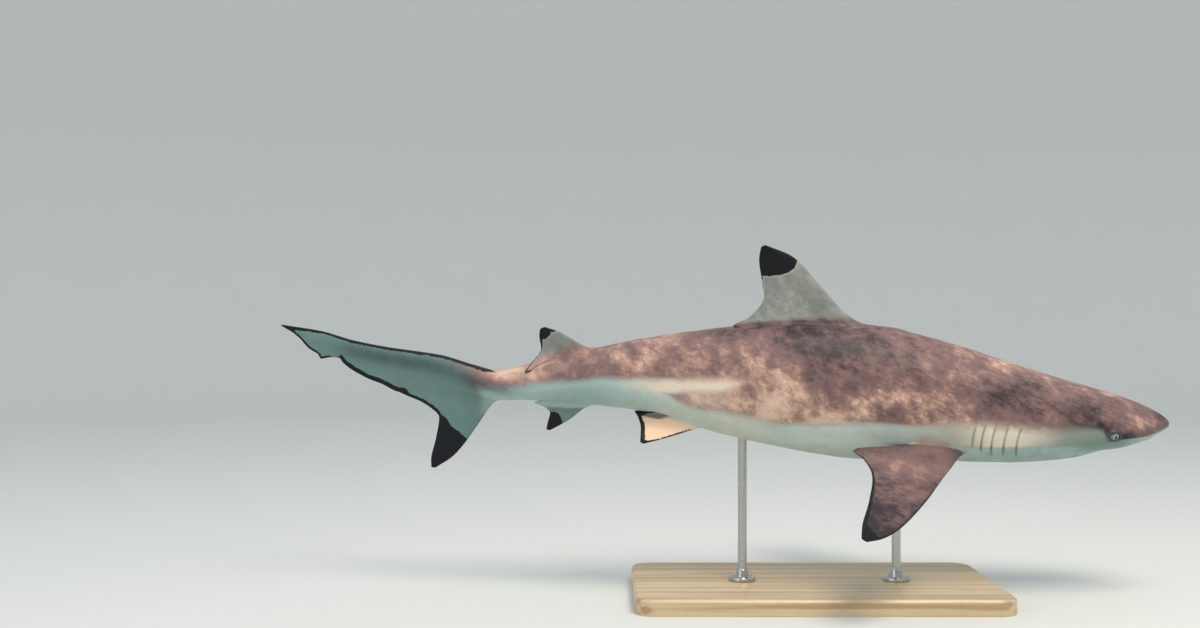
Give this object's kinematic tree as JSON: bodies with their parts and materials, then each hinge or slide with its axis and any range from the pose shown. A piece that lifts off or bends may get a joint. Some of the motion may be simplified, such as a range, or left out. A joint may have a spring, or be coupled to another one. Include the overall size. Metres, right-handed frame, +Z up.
{
  "type": "blacktip reef shark model on a display stand",
  "caption": "Still life-size model of a swimming blacktip reef shark with black-tipped fins, held by rods on a plain flat base.",
  "frame": {"origin": "middle of the underside of the stand's base, on the floor", "axes": "+X to the shark's snout, +Y to its left side, +Z up"},
  "size_m": [1.3984, 0.5477, 0.5429],
  "materials": {
    "shark_skin": "satin, fine-grained; brown back, pale flank band and belly, black fin tips",
    "belly_skin": "satin off-white belly skin",
    "eye": "polished, greenish grey iris with a black slit pupil",
    "stand_wood": "satin-lacquered pale wood",
    "stand_steel": "brushed stainless steel rod"
  },
  "bodies": {
    "root": {"head": "shark_skin", "gill_region": "shark_skin", "trunk_front": "shark_skin", "trunk_rear": "shark_skin", "tail_stalk": "shark_skin", "caudal_upper_lobe": "shark_skin", "caudal_lower_lobe": "shark_skin", "first_dorsal_fin": "shark_skin", "second_dorsal_fin": "shark_skin", "anal_fin": "shark_skin", "pectoral_fin_left": "shark_skin", "pectoral_fin_right": "shark_skin", "lower_jaw": "belly_skin", "pelvic_fin_left": "belly_skin", "pelvic_fin_right": "belly_skin", "eye_left": "eye", "eye_right": "eye", "stand_base": "stand_wood", "stand_rod_front": "stand_steel", "stand_rod_rear": "stand_steel"}
  },
  "joints": []
}
